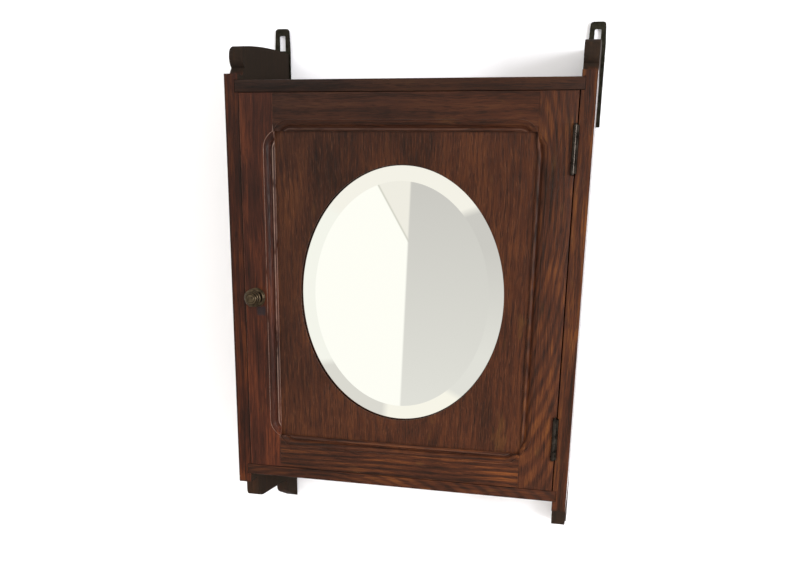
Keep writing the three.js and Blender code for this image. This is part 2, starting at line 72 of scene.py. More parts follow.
# %% [markdown]
# ## One way in for every new mesh
# A new piece is computed as numpy arrays, then handed to Blender. It rides on a body of the frame,
# takes the material it is given, and hides the solids it stands for.

# %% Helpers for pieces
body_with = {
    node: body
    for body, nodes in frame["record"]["behaviour"]["bodies"].items()
    for node in nodes
}


def show(piece, material, *nodes):
    """Gives a piece its material and its body, and hides the solids that it stands for."""
    piece.data.materials.clear()
    piece.data.materials.append(material)
    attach(piece, body_with[nodes[0]])
    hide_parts(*nodes)
    return piece


def mesh_piece(name, points, faces, sharp=32):
    """Makes a mesh from points in metres; edges bent by more than sharp degrees stay crisp."""
    mesh = bpy.data.meshes.new(name)
    mesh.from_pydata(points.tolist(), [], faces)
    work = bmesh.new()
    work.from_mesh(mesh)
    bmesh.ops.recalc_face_normals(work, faces=work.faces)
    work.to_mesh(mesh)
    work.free()
    mesh.polygons.foreach_set("use_smooth", np.ones(len(mesh.polygons), bool))
    mesh.set_sharp_from_angle(angle=math.radians(sharp))
    piece = bpy.data.objects.new(name, mesh)
    bpy.context.scene.collection.objects.link(piece)
    return piece


def ring_faces(stations, around, cap_first=True, cap_last=True):
    """Joins neighbouring rings by quads: corner (i, j) goes to (i, j + 1) and on to ring i + 1."""
    i, j = np.meshgrid(np.arange(stations - 1), np.arange(around), indexing="ij")
    step = (j + 1) % around
    quads = np.stack(
        [i * around + j, i * around + step, (i + 1) * around + step, (i + 1) * around + j], -1
    )
    faces = quads.reshape(-1, 4).tolist()
    if cap_first:
        faces.append(list(range(around))[::-1])
    if cap_last:
        faces.append(list(range((stations - 1) * around, stations * around)))
    return faces


def carried(name, rings, sharp=32, **caps):
    """A closed skin through rings of equal length, given as an array (station, point, 3)."""
    stations, around = rings.shape[:2]
    return mesh_piece(name, rings.reshape(-1, 3), ring_faces(stations, around, **caps), sharp)


# %% [markdown]
# ## The camera
# The cabinet is looked at from the right and from a little above, close enough for the verticals to
# draw together. A sideways and upward lens shift frames it, as a cropped picture does.

# %% Camera
IMAGE_W = 800
FOCAL = 795.1
CENTRE = (420.12, 430.0)
MIDDLE = (400, 292)
lens = bpy.data.cameras.new("camera")
lens.sensor_width = 36
lens.lens = FOCAL / IMAGE_W * lens.sensor_width
lens.shift_x = (MIDDLE[0] - CENTRE[0]) / IMAGE_W
lens.shift_y = (CENTRE[1] - MIDDLE[1]) / IMAGE_W
camera = bpy.data.objects.new("camera", lens)
camera.location = (0.2690, -1.3107, 0.1162)
camera.rotation_euler = [math.radians(a) for a in (74.6753, -1.3069, 12.2145)]
bpy.context.scene.collection.objects.link(camera)
bpy.context.scene.camera = camera
print("lens", round(lens.lens, 2), "shift", round(lens.shift_x, 4), round(lens.shift_y, 4))

# %% [markdown]
# ## Nodes and colours
# Colours are written as the hex values that a screen shows. Shaders work in linear light, so one
# function converts them. Another adds a node, sets it and links it.

# %% Node helpers


def linear(code, alpha=1.0):
    """sRGB hex to linear: c / 12.92 below 0.04045, else ((c + 0.055) / 1.055) ** 2.4."""
    channels = np.array([int(code[k : k + 2], 16) for k in (1, 3, 5)]) / 255
    bright = ((channels + 0.055) / 1.055) ** 2.4
    return (*np.where(channels <= 0.04045, channels / 12.92, bright).tolist(), alpha)


def add(tree, kind, inputs=None, **settings):
    """Adds a node, sets its options, then links or sets its sockets."""
    made = tree.nodes.new(kind)
    for key, value in settings.items():
        setattr(made, key, value)
    for key, value in (inputs or {}).items():
        if isinstance(value, bpy.types.NodeSocket):
            tree.links.new(value, made.inputs[key])
        else:
            made.inputs[key].default_value = value
    return made


def new_material(name):
    """An empty node tree with an output; returns the material, its tree and the output."""
    material = bpy.data.materials.new(name)
    material.use_nodes = True
    tree = material.node_tree
    tree.nodes.clear()
    return material, tree, add(tree, "ShaderNodeOutputMaterial")


# %% [markdown]
# ## Room, light and wall
# A mirror is only as good as the room it shows. The world is a plain room in two tones: a white
# wall to the left of an upright corner and a light grey one to its right, with a faint line where
# the ceiling begins. Two soft lamps stand either side of the camera, and a third lights the back
# of the cabinet. The wall behind it is matt white paint with a faint glow of its own, painted light
# that lifts the wall and its shadows. It is seen from its front only, so the back of the cabinet
# can be looked at too.

# %% World
world = bpy.data.worlds.new("room")
bpy.context.scene.world = world
world.use_nodes = True
tree = world.node_tree
tree.nodes.clear()
toward = add(tree, "ShaderNodeTexCoord").outputs["Generated"]
split = add(tree, "ShaderNodeSeparateXYZ", {0: toward})
ahead = add(
    tree, "ShaderNodeMath", {0: split.outputs["Y"], 1: -1.0}, operation="MULTIPLY"
).outputs[0]
ahead = add(tree, "ShaderNodeMath", {0: ahead, 1: 0.05}, operation="MAXIMUM").outputs[0]
across = add(
    tree, "ShaderNodeMath", {0: split.outputs["X"], 1: ahead}, operation="DIVIDE"
).outputs[0]
height = add(
    tree, "ShaderNodeMath", {0: split.outputs["Z"], 1: ahead}, operation="DIVIDE"
).outputs[0]


def step(reading, start, stop):
    """0 before start, 1 after stop and a ramp between them; start may be the larger."""
    limits = {"Value": reading, "From Min": start, "From Max": stop}
    return add(tree, "ShaderNodeMapRange", limits).outputs[0]


def blend(factor, first, second):
    """The first colour at factor 0 and the second at factor 1."""
    sockets = {"Factor": factor, 6: first, 7: second}
    return add(tree, "ShaderNodeMix", sockets, data_type="RGBA").outputs[2]


# The room's corner leans a little, because the house is old: across = -0.23 + 0.0315 height.
lean = add(
    tree, "ShaderNodeMath", {0: height, 1: -0.0315, 2: across}, operation="MULTIPLY_ADD"
).outputs[0]
# The ceiling starts where height = -1.68 across - 0.423.
slant = add(
    tree, "ShaderNodeMath", {0: across, 1: 1.68, 2: 0.423}, operation="MULTIPLY_ADD"
).outputs[0]
above = add(tree, "ShaderNodeMath", {0: height, 1: slant}, operation="ADD").outputs[0]
ceiling_line = add(tree, "ShaderNodeMath", {0: above}, operation="ABSOLUTE").outputs[0]
left_wall = blend(step(above, -0.002, 0.002), linear("#f5f4ee"), linear("#e6e3db"))
left_wall = blend(step(ceiling_line, 0.0035, 0.0), left_wall, linear("#c6c5bb"))
right_wall = blend(step(height, 0.03, -0.25), linear("#c3c1bd"), linear("#d8d7d2"))
room = blend(step(lean, -0.2313, -0.2289), left_wall, right_wall)
# Beyond what the flat of the glass shows, only the bevel sees the room: the wall far to the left,
# the ceiling above, and below it a grey cupboard on the left and a white one on the right.
low_down = add(
    tree, "ShaderNodeMath", {0: across, 1: 0.12, 2: height}, operation="MULTIPLY_ADD"
).outputs[0]
cupboards = blend(step(across, -0.33, -0.30), linear("#d2d0ca"), linear("#eeebe1"))
room = blend(step(across, -0.43, -0.47), room, linear("#ebebe4"))
room = blend(step(height, 0.11, 0.13), room, linear("#ebe8e0"))
room = blend(step(low_down, -0.37, -0.39), room, cupboards)
background = add(tree, "ShaderNodeBackground", {"Color": room, "Strength": 1.35})
add(tree, "ShaderNodeOutputWorld", {"Surface": background.outputs[0]})

# %% Lamps


def lamp(name, place, aim, size, power, tint="#ffffff"):
    """A square soft lamp that looks from its place to its aim."""
    light = bpy.data.lights.new(name, "AREA")
    light.size = size
    light.energy = power
    light.color = linear(tint)[:3]
    made = bpy.data.objects.new(name, light)
    made.location = place
    away = np.array(place) - np.array(aim)
    flat = math.hypot(away[0], away[1])
    made.rotation_euler = (math.atan2(flat, away[2]), 0, math.atan2(away[0], -away[1]))
    bpy.context.scene.collection.objects.link(made)
    return made


lamp("window_right", (1.75, -1.75, 0.25), (0, -0.15, 0), 0.8, 48, "#fbfcff")
lamp("lamp_left", (-1.3, -2.2, 1.5), (0, -0.1, 0), 1.3, 10, "#fbfcff")
lamp("lamp_rear", (0.9, 2.2, 1.1), (0, 0, 0), 1.4, 22)

# %% Wall and floor
material, tree, output = new_material("white_wall_paint_with_glow")
paint = add(
    tree, "ShaderNodeBsdfPrincipled", {"Base Color": linear("#fafaff"), "Roughness": 0.9}
)
# Painted light: the paint glows faintly, though it is no lamp, which lifts the wall and its
# shadows.
paint.inputs["Emission Color"].default_value = linear("#f6f8ff")
paint.inputs["Emission Strength"].default_value = 0.055
seen = add(tree, "ShaderNodeNewGeometry").outputs["Backfacing"]
shade = add(tree, "ShaderNodeLightPath").outputs["Is Shadow Ray"]
either = add(tree, "ShaderNodeMath", {0: seen, 1: shade}, operation="MAXIMUM").outputs[0]
clear = add(tree, "ShaderNodeBsdfTransparent")
mixed = add(
    tree, "ShaderNodeMixShader", {0: either, 1: paint.outputs[0], 2: clear.outputs[0]}
)
tree.links.new(mixed.outputs[0], output.inputs["Surface"])
glowing_wall = material

material, tree, output = new_material("pale_floor")
boards = add(
    tree, "ShaderNodeBsdfPrincipled", {"Base Color": linear("#eeece8"), "Roughness": 0.8}
)
tree.links.new(boards.outputs[0], output.inputs["Surface"])
FLOOR = cad_low[2] - 0.75
WALL = 4 * MM
reach = 6.0
wall = mesh_piece(
    "wall",
    np.array([(-reach, WALL, FLOOR), (reach, WALL, FLOOR), (reach, WALL, 4), (-reach, WALL, 4)]),
    [[0, 1, 2, 3]],
)
wall.data.materials.append(glowing_wall)
floor = mesh_piece(
    "floor",
    np.array([(-9, -9, FLOOR), (9, -9, FLOOR), (9, 9, FLOOR), (-9, 9, FLOOR)]),
    [[0, 1, 2, 3]],
)
floor.data.materials.append(material)
floor.visible_glossy = False  # the mirror shows the room, not this sheet
print("wall faces", tuple(round(c, 2) for c in wall.data.polygons[0].normal))

# %% [markdown]
# ## Stained oak
# The wood is red-brown oak under a dark oil stain and a semi-gloss varnish. Oak is ring-porous: the
# spring wood is a row of open pores that take more stain, so sawn boards show dark dashes along the
# grain, and arches where the saw left the rings at a slant. The dashes on a real board are 0.2 to
# 0.4 mm wide; here they are about 1 mm, so that they show. Each board is cut from its own place in
# the log, so each has its own material with its own grain direction.

# %% Stained oak
TURNS = {"z": (0, 0, 0), "x": (0, math.pi / 2, 0), "y": (math.pi / 2, 0, 0)}
RING_GAP = 0.0075  # from one growth ring to the next, in metres
SHEEN = 0.13  # how strongly the varnish reflects
BROAD = 0.55  # the usual strength of the broad streaks


def stained_oak(
    name,
    along,
    seed,
    dark="#2c1912",
    mid="#552f22",
    light="#7a4a30",
    heart=(0.16, 0.09),
    slope=0.0,
    flecks=0.0,
    worn=0.25,
    gloss=0.36,
    tint="#d1ded8",
    rings=1.0,
    flanks=False,
    ridges=0.0,
    streaky=BROAD,
    mark=None,
):
    """Varnished oak whose grain runs along x, y or z. The rings' centre lies at heart, in metres
    from the board's middle across the grain, and drifts by slope for each metre along it. Flecks,
    worn, rings, ridges and streaky are strengths: of the pale dashes, the rubbed patches, the
    growth rings, the painted highlight on the arrises and the broad streaks. Flanks darkens a side
    board's inner face and paints shade on its ears and feet, and mark is the middle (x, z) and half
    width of one painted shadow, the knob's, in metres."""
    material, tree, output = new_material(name)
    place = add(tree, "ShaderNodeTexCoord").outputs["Object"]
    wood = add(
        tree,
        "ShaderNodeMapping",
        {"Vector": place, "Rotation": TURNS[along]},
    ).outputs[0]
    shift = add(
        tree, "ShaderNodeVectorMath", {0: wood, 1: (seed * 0.37, seed * 0.61, seed * 0.83)}
    ).outputs[0]
    # A slow sway of 3 mm across the grain, over about 150 mm along it.
    long_way = add(
        tree, "ShaderNodeVectorMath", {0: shift, 1: (1, 1, 0.45)}, operation="MULTIPLY"
    ).outputs[0]
    sway = add(
        tree, "ShaderNodeTexNoise", {"Vector": long_way, "Scale": 14.0, "Detail": 1.0}
    ).outputs["Color"]
    sway = add(
        tree, "ShaderNodeVectorMath", {0: sway, 1: (0.5, 0.5, 0.5)}, operation="SUBTRACT"
    ).outputs[0]
    sway = add(
        tree, "ShaderNodeVectorMath", {0: sway, 1: (0.012, 0.012, 0)}, operation="MULTIPLY"
    ).outputs[0]
    bent = add(tree, "ShaderNodeVectorMath", {0: shift, 1: sway}).outputs[0]

    def streaks(width, stretch, detail=2.0):
        """Noise in streaks of this width in metres, drawn out along the grain."""
        drawn = add(
            tree, "ShaderNodeVectorMath", {0: bent, 1: (1, 1, 1 / stretch)}, operation="MULTIPLY"
        ).outputs[0]
        return add(
            tree,
            "ShaderNodeTexNoise",
            {"Vector": drawn, "Scale": 1 / width, "Detail": detail, "Roughness": 0.6},
        ).outputs["Fac"]

    # Rings: the distance from the heart, less the drift, in steps of about 7 mm.
    split = add(tree, "ShaderNodeSeparateXYZ", {0: wood})
    drift = add(
        tree, "ShaderNodeMath", {0: split.outputs["Z"], 1: slope}, operation="MULTIPLY"
    ).outputs[0]
    swayed = add(tree, "ShaderNodeSeparateXYZ", {0: sway})
    side = add(
        tree, "ShaderNodeMath", {0: split.outputs["X"], 1: heart[0]}, operation="SUBTRACT"
    ).outputs[0]
    side = add(tree, "ShaderNodeMath", {0: side, 1: swayed.outputs["X"]}).outputs[0]
    deep = add(
        tree, "ShaderNodeMath", {0: split.outputs["Y"], 1: heart[1]}, operation="SUBTRACT"
    ).outputs[0]
    deep = add(tree, "ShaderNodeMath", {0: deep, 1: drift}).outputs[0]
    radius = add(
        tree, "ShaderNodeCombineXYZ", {"X": side, "Y": deep, "Z": 0.0}
    ).outputs[0]
    radius = add(
        tree, "ShaderNodeVectorMath", {0: radius}, operation="LENGTH"
    ).outputs["Value"]
    phase = add(
        tree, "ShaderNodeMath", {0: radius, 1: 2 * math.pi / RING_GAP}, operation="MULTIPLY"
    ).outputs[0]
    ring = add(tree, "ShaderNodeMath", {0: phase}, operation="SINE").outputs[0]
    ring = add(
        tree, "ShaderNodeMapRange", {"Value": ring, "From Min": -0.4, "From Max": 1.0}
    ).outputs[0]

    fine = streaks(0.0011, 26)
    broad = streaks(0.0042, 34)
    dashes = streaks(0.0012, 15, 1.0)
    blotch = streaks(0.05, 2.2)
    # Pores: short dark dashes, most of them in the spring wood.
    edge = add(
        tree, "ShaderNodeMath", {0: ring, 1: -0.075, 2: 0.60}, operation="MULTIPLY_ADD"
    ).outputs[0]
    deeper = add(tree, "ShaderNodeMath", {0: edge, 1: 0.07}).outputs[0]
    pores = add(
        tree, "ShaderNodeMapRange", {"Value": dashes, "From Min": edge, "From Max": deeper}
    ).outputs[0]
    tone = add(
        tree, "ShaderNodeMath", {0: fine, 1: 0.62, 2: 0.01}, operation="MULTIPLY_ADD"
    ).outputs[0]
    tone = add(
        tree, "ShaderNodeMath", {0: broad, 1: streaky, 2: tone}, operation="MULTIPLY_ADD"
    ).outputs[0]
    tone = add(
        tree, "ShaderNodeMath", {0: ring, 1: -0.11 * rings, 2: tone}, operation="MULTIPLY_ADD"
    ).outputs[0]
    tone = add(
        tree, "ShaderNodeMath", {0: blotch, 1: 0.6, 2: tone}, operation="MULTIPLY_ADD"
    ).outputs[0]
    # Noise averages one half, so half the extra strength comes off again.
    level = -0.31 - (streaky - BROAD) / 2
    tone = add(tree, "ShaderNodeMath", {0: tone, 1: level}).outputs[0]
    ramp = add(tree, "ShaderNodeValToRGB", {"Fac": tone})
    ramp.color_ramp.elements[0].position = 0.25
    ramp.color_ramp.elements[0].color = linear(dark)
    ramp.color_ramp.elements[1].position = 0.95
    ramp.color_ramp.elements[1].color = linear(light)
    ramp.color_ramp.elements.new(0.58).color = linear(mid)
    colour = ramp.outputs["Color"]
    # Partly wear, partly painted light: the finish is darkest at the top left and brighter,
    # warmer brown at the lower right, where the light falls.
    spot = add(tree, "ShaderNodeSeparateXYZ", {0: place})
    lower_right = {0: spot.outputs["Z"], 1: -0.75, 2: spot.outputs["X"]}
    lit_and_worn = add(tree, "ShaderNodeMath", lower_right, operation="MULTIPLY_ADD").outputs[0]
    lit_and_worn = add(
        tree, "ShaderNodeMath", {0: blotch, 1: 0.35, 2: lit_and_worn}, operation="MULTIPLY_ADD"
    ).outputs[0]
    lit_and_worn = add(
        tree, "ShaderNodeMapRange", {"Value": lit_and_worn, "From Min": -0.25, "From Max": 0.62}
    ).outputs[0]
    lit_and_worn_tone = add(
        tree,
        "ShaderNodeMix",
        {"Factor": lit_and_worn, 6: linear("#a89f9a"), 7: linear("#ffe2bf")},
        data_type="RGBA",
    ).outputs[2]
    colour = add(
        tree,
        "ShaderNodeMix",
        {"Factor": 1.0, 6: colour, 7: lit_and_worn_tone},
        data_type="RGBA",
        blend_type="MULTIPLY",
    ).outputs[2]
    # Rubbed patches, where the stain is thin.
    rub = streaks(0.022, 3.5, 3.0)
    rub = add(
        tree, "ShaderNodeMapRange", {"Value": rub, "From Min": 0.62, "From Max": 0.74}
    ).outputs[0]
    rub = add(tree, "ShaderNodeMath", {0: rub, 1: worn}, operation="MULTIPLY").outputs[0]
    rub = add(tree, "ShaderNodeMath", {0: rub, 1: lit_and_worn}, operation="MULTIPLY").outputs[0]
    colour = add(
        tree,
        "ShaderNodeMix",
        {"Factor": rub, 6: colour, 7: linear("#91602f")},
        data_type="RGBA",
    ).outputs[2]
    if flecks:
        # Veneer: short pale dashes where the knife lifted the fibres.
        lift = streaks(0.0011, 18, 2.0)
        lift = add(
            tree, "ShaderNodeMapRange", {"Value": lift, "From Min": 0.58, "From Max": 0.70}
        ).outputs[0]
        lift = add(tree, "ShaderNodeMath", {0: lift, 1: flecks}, operation="MULTIPLY").outputs[0]
        colour = add(
            tree,
            "ShaderNodeMix",
            {"Factor": lift, 6: colour, 7: linear("#8f5539")},
            data_type="RGBA",
        ).outputs[2]
    stained = add(tree, "ShaderNodeMath", {0: pores, 1: 0.5}, operation="MULTIPLY").outputs[0]
    colour = add(
        tree,
        "ShaderNodeMix",
        {"Factor": stained, 6: colour, 7: linear("#1d100b")},
        data_type="RGBA",
    ).outputs[2]
    colour = add(
        tree,
        "ShaderNodeMix",
        {"Factor": 1.0, 6: colour, 7: linear(tint)},
        data_type="RGBA",
        blend_type="MULTIPLY",
    ).outputs[2]
    if mark:
        # Painted shadow of the knob: a squarish dark patch, with an edge that fades over 3 mm.
        half = mark[2]
        cover = 0.8
        for axis, middle in (("X", mark[0]), ("Z", mark[1])):
            off = add(
                tree, "ShaderNodeMath", {0: spot.outputs[axis], 1: middle}, operation="SUBTRACT"
            ).outputs[0]
            off = add(tree, "ShaderNodeMath", {0: off}, operation="ABSOLUTE").outputs[0]
            near = add(
                tree,
                "ShaderNodeMapRange",
                {
                    "Value": off,
                    "From Min": half,
                    "From Max": half + 0.003,
                    "To Min": 1.0,
                    "To Max": 0.0,
                },
            ).outputs[0]
            cover = add(
                tree, "ShaderNodeMath", {0: near, 1: cover}, operation="MULTIPLY"
            ).outputs[0]
        colour = add(
            tree,
            "ShaderNodeMix",
            {"Factor": cover, 6: colour, 7: linear("#1f1c20")},
            data_type="RGBA",
        ).outputs[2]
    rough = add(
        tree, "ShaderNodeMath", {0: pores, 1: 0.2, 2: gloss}, operation="MULTIPLY_ADD"
    ).outputs[0]
    rough = add(
        tree, "ShaderNodeMath", {0: blotch, 1: 0.16, 2: rough}, operation="MULTIPLY_ADD"
    ).outputs[0]
    shine = SHEEN
    if flanks:
        # Inner faces are darker, greyer and matt; the set-back ears and feet get the same dark grey
        # as painted shade. Outer faces have kept their smooth varnish.
        darkened_and_shaded = add(tree, "ShaderNodeAttribute", attribute_name="inner_face").outputs["Fac"]
        far = add(tree, "ShaderNodeMath", {0: split.outputs["Z"]}, operation="ABSOLUTE").outputs[0]
        ends = add(
            tree,
            "ShaderNodeMapRange",
            {"Value": far, "From Min": 0.2975, "From Max": 0.3025, "To Max": 0.88},
        ).outputs[0]
        darkened_and_shaded = add(tree, "ShaderNodeMath", {0: darkened_and_shaded, 1: ends}, operation="MAXIMUM").outputs[0]
        kept = add(tree, "ShaderNodeAttribute", attribute_name="outer_face").outputs["Fac"]
        grey = add(
            tree,
            "ShaderNodeMix",
            {"Factor": 1.0, 6: colour, 7: linear("#9aa39c")},
            data_type="RGBA",
            blend_type="MULTIPLY",
        ).outputs[2]
        grey = add(
            tree,
            "ShaderNodeMix",
            {"Factor": 0.7, 6: grey, 7: linear("#2d2823")},
            data_type="RGBA",
        ).outputs[2]
        colour = add(
            tree, "ShaderNodeMix", {"Factor": darkened_and_shaded, 6: colour, 7: grey}, data_type="RGBA"
        ).outputs[2]
        rough = add(
            tree, "ShaderNodeMapRange", {"Value": kept, "To Min": rough, "To Max": 0.12}
        ).outputs[0]
        rough = add(
            tree, "ShaderNodeMapRange", {"Value": darkened_and_shaded, "To Min": rough, "To Max": 0.85}
        ).outputs[0]
        shine = add(
            tree, "ShaderNodeMapRange", {"Value": darkened_and_shaded, "To Min": SHEEN, "To Max": 0.0}
        ).outputs[0]
    if ridges:
        # Painted highlight: arrises and the bead's crest are paler; their varnish is also smoother
        # and shinier.
        ridge = add(tree, "ShaderNodeAttribute", attribute_name="ridge").outputs["Fac"]
        patchy = streaks(0.012, 2.0)
        patchy = add(
            tree, "ShaderNodeMapRange", {"Value": patchy, "From Min": 0.3, "From Max": 0.52}
        ).outputs[0]
        ridge = add(tree, "ShaderNodeMath", {0: ridge, 1: patchy}, operation="MULTIPLY").outputs[0]
        ridge = add(tree, "ShaderNodeMath", {0: ridge, 1: ridges}, operation="MULTIPLY").outputs[0]
        pale = add(tree, "ShaderNodeMath", {0: ridge, 1: 0.5}, operation="MULTIPLY").outputs[0]
        colour = add(
            tree,
            "ShaderNodeMix",
            {"Factor": pale, 6: colour, 7: linear("#9a7a6c")},
            data_type="RGBA",
        ).outputs[2]
        rough = add(
            tree, "ShaderNodeMapRange", {"Value": ridge, "To Min": rough, "To Max": 0.26}
        ).outputs[0]
        shine = add(
            tree, "ShaderNodeMapRange", {"Value": ridge, "To Min": SHEEN, "To Max": 0.6}
        ).outputs[0]
    relief = add(
        tree, "ShaderNodeMath", {0: pores, 1: -1.0, 2: fine}, operation="MULTIPLY_ADD"
    ).outputs[0]
    bump = add(
        tree, "ShaderNodeBump", {"Height": relief, "Strength": 0.5, "Distance": 0.00025}
    ).outputs[0]
    sockets = {"Base Color": colour, "Roughness": rough, "Specular IOR Level": shine}
    shader = add(tree, "ShaderNodeBsdfPrincipled", {**sockets, "Normal": bump})
    tree.links.new(shader.outputs[0], output.inputs["Surface"])
    return material


# %% [markdown]
# ## Plain wood, iron, steel, brass and silvered glass
# Bare pine at the back has only oxidised. The plates are wrought iron, blackened and then rusted a
# little. The hinges are steel gone brown. The knob is brass with an old brown patina.

# %% Metals, bare wood and mirror


def speckled(name, colours, size, rough, metal=1.0, stretch=(1, 1, 1), depth=0.0001):
    """A surface whose colour wanders through two tones, in patches of the given size in metres."""
    material, tree, output = new_material(name)
    place = add(tree, "ShaderNodeTexCoord").outputs["Object"]
    drawn = add(
        tree, "ShaderNodeVectorMath", {0: place, 1: stretch}, operation="MULTIPLY"
    ).outputs[0]
    patch = add(
        tree,
        "ShaderNodeTexNoise",
        {"Vector": drawn, "Scale": 1 / size, "Detail": 5.0, "Roughness": 0.65},
    ).outputs["Fac"]
    grit = add(
        tree, "ShaderNodeTexNoise", {"Vector": drawn, "Scale": 6 / size, "Detail": 3.0}
    ).outputs["Fac"]
    blend = add(
        tree, "ShaderNodeMapRange", {"Value": patch, "From Min": 0.35, "From Max": 0.65}
    ).outputs[0]
    colour = add(
        tree,
        "ShaderNodeMix",
        {"Factor": blend, 6: linear(colours[0]), 7: linear(colours[1])},
        data_type="RGBA",
    ).outputs[2]
    roughness = add(
        tree,
        "ShaderNodeMapRange",
        {"Value": patch, "From Min": 0.3, "From Max": 0.7, "To Min": rough[0], "To Max": rough[1]},
    ).outputs[0]
    bump = add(
        tree, "ShaderNodeBump", {"Height": grit, "Strength": 0.6, "Distance": depth}
    ).outputs[0]
    shader = add(
        tree,
        "ShaderNodeBsdfPrincipled",
        {"Base Color": colour, "Roughness": roughness, "Normal": bump},
    )
    shader.inputs["Metallic"].default_value = metal
    tree.links.new(shader.outputs[0], output.inputs["Surface"])
    return material


black_iron = speckled("blackened_wrought_iron", ("#191812", "#35322a"), 0.006, (0.45, 0.7))
brown_steel = speckled("browned_hinge_steel", ("#1c1815", "#3d3732"), 0.009, (0.22, 0.4))
screw_steel = speckled("dull_screw_steel", ("#56504a", "#8c867e"), 0.002, (0.35, 0.55))
old_brass = speckled("aged_brass", ("#302820", "#594c3b"), 0.005, (0.28, 0.45))
bare_pine = speckled(
    "oxidised_pine", ("#6d5138", "#93714d"), 0.003, (0.7, 0.85), 0.0, (1, 1, 0.05)
)
inner_oak = speckled(
    "dark_case_oak", ("#35261e", "#543e31"), 0.0025, (0.5, 0.65), 0.0, (0.05, 1, 1)
)

material, tree, output = new_material("silvered_glass")
shader = add(
    tree, "ShaderNodeBsdfPrincipled", {"Base Color": linear("#e8e9e6"), "Roughness": 0.006}
)
shader.inputs["Metallic"].default_value = 1.0
tree.links.new(shader.outputs[0], output.inputs["Surface"])
silvered_glass = material

# %% [markdown]
# ## Boards with eased edges
# Sawn and planed boards are never quite sharp: a plane stroke and a century of hands ease every
# arris by about a millimetre. A board is a rounded block. Its rings are rounded rectangles, which
# shrink by r(1 - sin a) over the last r(1 - cos a) of the length.

# %% Rounded boards
AXES = {"x": (1, 2, 0), "y": (2, 0, 1), "z": (0, 1, 2)}


def rounded_block(name, low, high, along, ease, steps=3):
    """Rings of a rounded rectangle across the length; at each end the ring shrinks on a quarter
    circle, so that every edge and corner of the block is eased by the same radius."""
    a, b, c = AXES[along]
    low, high = np.array(low), np.array(high)
    turn = np.linspace(0, math.pi / 2, steps + 1)
    inset = np.concatenate([ease * (1 - np.sin(turn)), ease * (1 - np.sin(turn[::-1]))])
    ends = ease * (1 - np.cos(turn))
    length = np.concatenate([low[c] + ends, high[c] - ends[::-1]])
    quarter = np.concatenate([turn + k * math.pi / 2 for k in range(4)])
    signs = np.repeat([(1, 1), (-1, 1), (-1, -1), (1, -1)], steps + 1, axis=0)
    rings = np.zeros((len(length), len(quarter), 3))
    for i, (at, less) in enumerate(zip(length, inset)):
        corner = max(ease - less, ease * 0.02)
        half_a = (high[a] - low[a]) / 2 - less - corner
        half_b = (high[b] - low[b]) / 2 - less - corner
        rings[i, :, a] = (high[a] + low[a]) / 2 + signs[:, 0] * half_a + corner * np.cos(quarter)
        rings[i, :, b] = (high[b] + low[b]) / 2 + signs[:, 1] * half_b + corner * np.sin(quarter)
        rings[i, :, c] = at
    return carried(name, rings, sharp=50)


def board(node, along, ease, material):
    """The rounded block that stands for a plain board of the frame."""
    low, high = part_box(node)
    piece = rounded_block(f"{node}_eased", low, high, along, ease * MM)
    return show(piece, material, node)


top_oak = stained_oak(
    "top_board_oak", "x", 3, light="#6d4430", heart=(0.05, 0.3), tint="#b0c6c8"
)
bottom_oak = stained_oak(
    "bottom_board_oak",
    "x",
    7,
    light="#8a5634",
    heart=(-0.32, -0.16),
    slope=0.32,
    worn=0.5,
    rings=1.5,
)
board("top_board", "x", 1.0, top_oak)
board("bottom_board", "x", 1.0, bottom_oak)
for k in (1, 2, 3):
    board(f"shelf_{k}", "x", 1.2, inner_oak)
    for hand in ("left", "right"):
        board(f"cleat_{hand}_{k}", "y", 0.8, inner_oak)
for end in ("top", "bottom"):
    board(f"stop_{end}", "z", 0.8, inner_oak)
    board(f"bead_{end}", "x", 0.6, bare_pine)
for hand in ("left", "right"):
    board(f"bead_{hand}", "z", 0.6, bare_pine)
board("mirror_backing", "z", 0.4, bare_pine)

# %% [markdown]
# ## Side boards, plates and hinge leaves
# These have cut-outs that the frame already holds: dadoes, leaf beds, slots and screw holes. The
# quickest faithful way to soften them is to copy the solid, merge its loose triangles into flat
# faces, and let a Bevel modifier ease whatever is sharp.

# %% Softened copies of cut solids


def mark_flanks(mesh):
    """Marks the two broad faces of a side board: the one that looks inward, to the middle of the
    case, and the one that looks outward."""
    faces = len(mesh.polygons)
    normals, centres = np.zeros(faces * 3), np.zeros(faces * 3)
    mesh.polygons.foreach_get("normal", normals)
    mesh.polygons.foreach_get("center", centres)
    outward = normals[0::3] * np.sign(centres[0::3])
    for name, chosen in (("inner_face", outward < -0.7), ("outer_face", outward > 0.7)):
        mesh.attributes.new(name, "FLOAT", "FACE").data.foreach_set("value", chosen.astype(float))


def softened(node, ease, material, segments=2, sharp=35):
    """A copy of a solid, merged into flat faces, with a Bevel of the given width in millimetres."""
    mesh = frame["nodes"][node].data.copy()
    work = bmesh.new()
    work.from_mesh(mesh)
    bmesh.ops.remove_doubles(work, verts=work.verts, dist=2e-6)
    bmesh.ops.dissolve_limit(
        work, angle_limit=math.radians(0.4), verts=work.verts, edges=work.edges
    )
    work.to_mesh(mesh)
    work.free()
    mesh.polygons.foreach_set("use_smooth", np.ones(len(mesh.polygons), bool))
    mesh.set_sharp_from_angle(angle=math.radians(sharp))
    if node.startswith("side"):
        mark_flanks(mesh)
    piece = bpy.data.objects.new(f"{node}_softened", mesh)
    bpy.context.scene.collection.objects.link(piece)
    bevel = piece.modifiers.new("eased_edges", "BEVEL")
    bevel.width = ease * MM
    bevel.segments = segments
    bevel.limit_method = "ANGLE"
    bevel.angle_limit = math.radians(sharp)
    bevel.harden_normals = True
    return show(piece, material, node)


